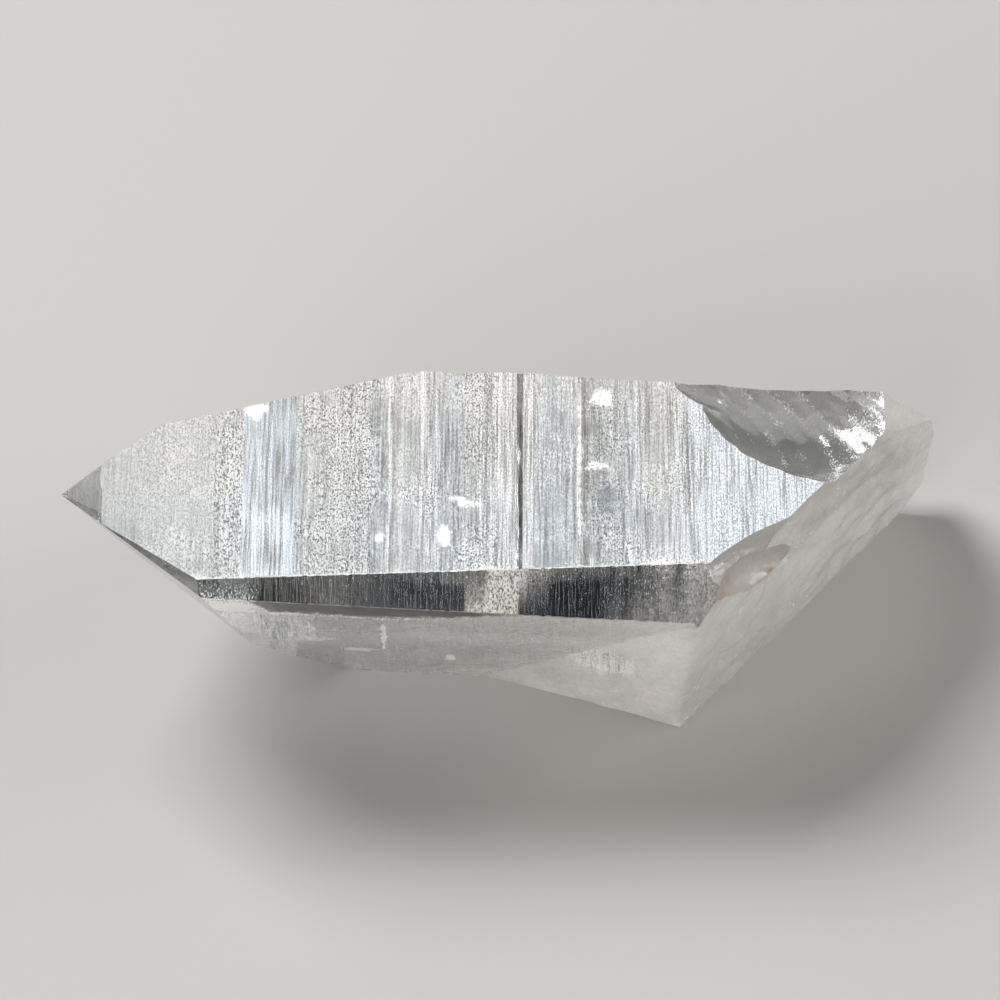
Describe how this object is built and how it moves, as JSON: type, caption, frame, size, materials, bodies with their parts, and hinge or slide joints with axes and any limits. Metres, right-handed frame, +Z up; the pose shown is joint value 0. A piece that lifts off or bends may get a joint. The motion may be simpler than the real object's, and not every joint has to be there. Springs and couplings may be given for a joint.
{
  "type": "quartz crystal",
  "caption": "Natural quartz point with growth-line ledges across its prism faces, a clear pointed tip and a rough broken base, lying on a prism face.",
  "frame": {"origin": "centre of the bounding box's underside, on the surface the crystal lies on", "axes": "+X along the growth axis from the point to the broken base, +Z up, normal to the upper prism face and to the lower one it lies on"},
  "size_m": [0.0892, 0.0416, 0.0273],
  "materials": {
    "quartz": "clear inside, frosted by growth lines outside"
  },
  "bodies": {
    "root": {"quartz_crystal": "quartz"}
  },
  "joints": []
}
